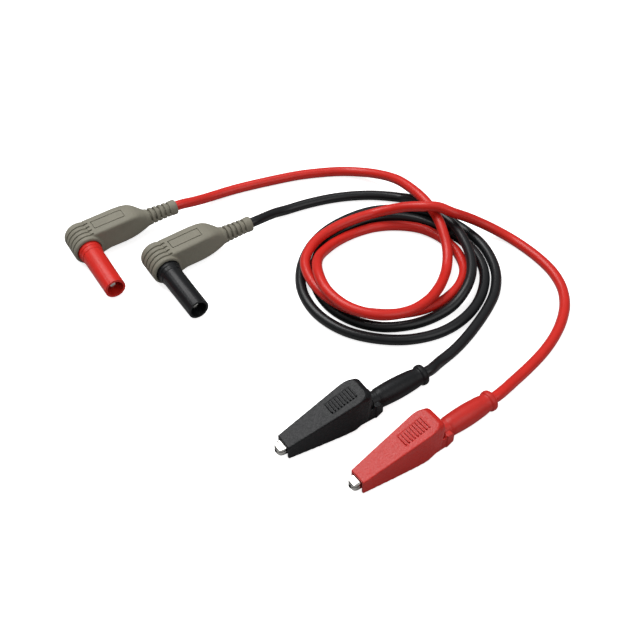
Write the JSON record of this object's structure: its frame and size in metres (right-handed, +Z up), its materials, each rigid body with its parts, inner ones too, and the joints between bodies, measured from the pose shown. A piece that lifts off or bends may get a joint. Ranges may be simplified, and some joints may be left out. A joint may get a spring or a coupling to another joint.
{
  "type": "alligator clip test lead pair",
  "caption": "Red and black flexible test leads, each with a right-angle shrouded 4 mm plug at one end and an insulated alligator clip at the other, lying loosely coiled.",
  "frame": {"origin": "on the table, under the middle of the box round the plugs and clips (cables left out)", "axes": "+Z up from the table; +Y away from the viewer, from the clips towards the coiled cables; +X to the viewer's right, from the plugs towards the coil"},
  "size_m": [0.1873, 0.1585, 0.0165],
  "materials": {
    "grey_overmould": "soft matte warm-grey overmould",
    "red_plastic": "satin red, fine moulded texture",
    "black_plastic": "satin black, fine moulded texture",
    "red_cable": "smooth, slightly glossy",
    "black_cable": "smooth, slightly glossy",
    "nickel_plate": "bright nickel plate",
    "spring_steel": "drawn wire",
    "brass": "plain",
    "copper_strands": "bare stranded copper"
  },
  "bodies": {
    "leads": {"red_plug_boot": "grey_overmould", "red_plug_shroud": "red_plastic", "red_plug_pin": "nickel_plate", "red_plug_contact_spring": "spring_steel", "red_plug_terminal": "brass", "red_plug_conductor": "copper_strands", "red_cable": "red_cable", "red_clip_lower_cover": "red_plastic", "red_clip_sleeve": "red_plastic", "red_clip_lower_jaw": "nickel_plate", "red_clip_pivot_pin": "nickel_plate", "red_clip_spring": "spring_steel", "red_clip_ferrule": "brass", "red_clip_conductor": "copper_strands", "black_plug_boot": "grey_overmould", "black_plug_shroud": "black_plastic", "black_plug_pin": "nickel_plate", "black_plug_contact_spring": "spring_steel", "black_plug_terminal": "brass", "black_plug_conductor": "copper_strands", "black_cable": "black_cable", "black_clip_lower_cover": "black_plastic", "black_clip_sleeve": "black_plastic", "black_clip_lower_jaw": "nickel_plate", "black_clip_pivot_pin": "nickel_plate", "black_clip_spring": "spring_steel", "black_clip_ferrule": "brass", "black_clip_conductor": "copper_strands"},
    "red_jaw": {"red_clip_upper_cover": "red_plastic", "red_clip_upper_jaw": "nickel_plate"},
    "black_jaw": {"black_clip_upper_cover": "black_plastic", "black_clip_upper_jaw": "nickel_plate"}
  },
  "joints": [
    {"name": "red_clip_open", "type": "hinge", "parent": "leads", "child": "red_jaw", "pos_m": [0.0434, -0.05423, 0.0056], "axis": [-0.592, 0.8059, 0], "range_deg": [0, 16], "stiffness_Nm_per_rad": 0.03, "springref_deg": -22.92, "deforming": ["red_clip_spring"]},
    {"name": "black_clip_open", "type": "hinge", "parent": "leads", "child": "black_jaw", "pos_m": [0.02081, -0.04172, 0.0056], "axis": [-0.5563, 0.831, 0], "range_deg": [0, 16], "stiffness_Nm_per_rad": 0.03, "springref_deg": -22.92, "deforming": ["black_clip_spring"]}
  ]
}
